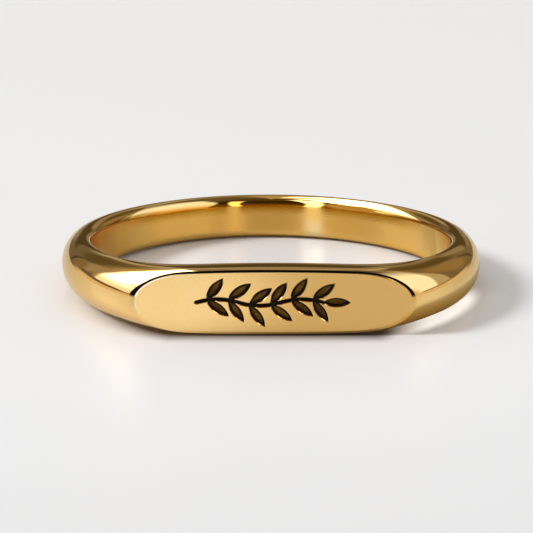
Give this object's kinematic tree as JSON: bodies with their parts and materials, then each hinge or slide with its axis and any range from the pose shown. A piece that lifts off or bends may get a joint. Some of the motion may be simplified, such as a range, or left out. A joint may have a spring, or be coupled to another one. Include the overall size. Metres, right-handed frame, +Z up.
{
  "type": "bar ring",
  "caption": "Polished gold finger ring with a half round band, a flat satin bar across the front and an engraved leafy sprig.",
  "frame": {"origin": "where the finger hole's axis meets the surface that the ring lies on", "axes": "+Z up, within 2 degrees of the finger hole's axis; the flat plate faces -Y; +X along the plate, towards the sprig's tip"},
  "size_m": [0.0224, 0.0201, 0.0036],
  "materials": {
    "gold": "polished yellow gold, with a satin plate and a dark engraving"
  },
  "bodies": {
    "root": {"ring_body": "gold"}
  },
  "joints": []
}
